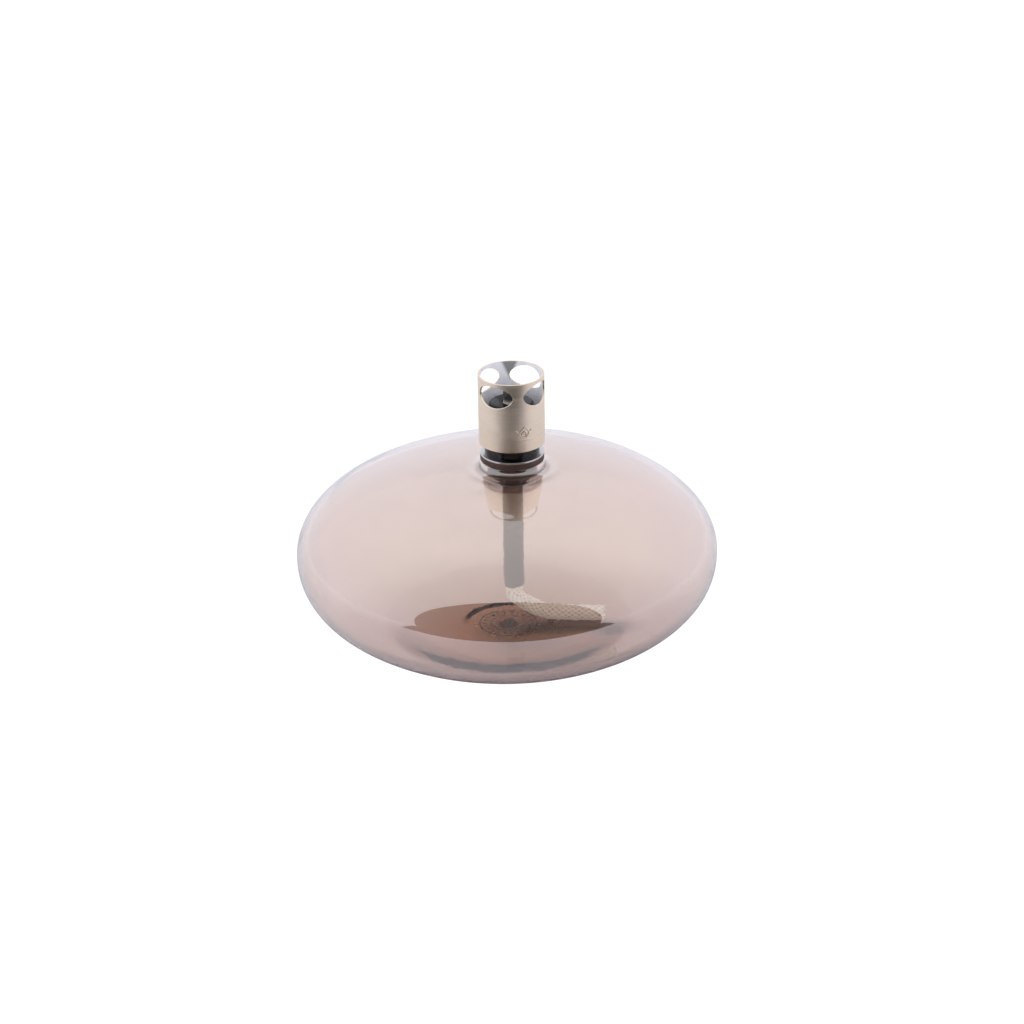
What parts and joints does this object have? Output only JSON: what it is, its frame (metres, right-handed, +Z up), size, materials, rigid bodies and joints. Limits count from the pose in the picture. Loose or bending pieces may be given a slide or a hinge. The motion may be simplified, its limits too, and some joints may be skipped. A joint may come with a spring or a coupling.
{
  "type": "oil lamp",
  "caption": "Squat blown-glass oil lamp with a lift-out steel burner, a braided wick in a long tube and a vented cylindrical cap.",
  "frame": {"origin": "middle of the flat base, on the surface that the lamp stands on", "axes": "+Z up along the burner's axis; +X towards the side that the free wick points to; -Y towards the viewer's front"},
  "size_m": [0.185, 0.185, 0.1232],
  "materials": {
    "smoked_glass": "clear blown glass with a smoky rose lustre",
    "label": "printed film",
    "silicone": "satin dark brown",
    "flange_steel": "turned and lightly brushed",
    "black_steel": "blackened satin",
    "tube_steel": "drawn tube, satin",
    "wick_cotton": "off-white braid",
    "spring_wire": "bright spring wire",
    "cap_steel": "warm stainless, brushed round its length"
  },
  "bodies": {
    "vessel": {"glass_vessel": "smoked_glass", "base_label": "label"},
    "burner": {"flange_gasket": "silicone", "burner_flange": "flange_steel", "seat_boss": "black_steel", "neck_plug": "flange_steel", "neck_seal": "silicone", "lock_washer": "flange_steel", "lock_nut": "flange_steel", "wick_tube": "tube_steel", "wick_nozzle": "black_steel"},
    "wick": {"wick_stem": "wick_cotton"},
    "free_wick": {"wick_tail": "wick_cotton"},
    "cap_spring": {"grip_spring": "spring_wire"},
    "cap": {"vent_cap": "cap_steel", "seat_ring": "cap_steel"}
  },
  "joints": [
    {"name": "burner_lift", "type": "slide", "parent": "vessel", "child": "burner", "axis": [0, 0, 1], "range_m": [0, 0.12], "deforming": ["wick_tail"]},
    {"name": "wick_feed", "type": "slide", "parent": "burner", "child": "wick", "axis": [0, 0, 1], "range_m": [0, 0.004]},
    {"name": "tail_droop", "type": "hinge", "parent": "wick", "child": "free_wick", "pos_m": [0, 0, 0.008], "axis": [0, 1, 0], "range_deg": [0, 90]},
    {"name": "cap_turn", "type": "hinge", "parent": "burner", "child": "cap_spring", "pos_m": [0, 0, 0.0948], "axis": [0, 0, 1], "continuous": true},
    {"name": "cap_lift", "type": "slide", "parent": "cap_spring", "child": "cap", "axis": [0, 0, 1], "range_m": [0, 0.045]}
  ],
  "couplings": [
    {"joint": "tail_droop", "follows": "burner_lift", "rad_per_m": 13.08}
  ]
}
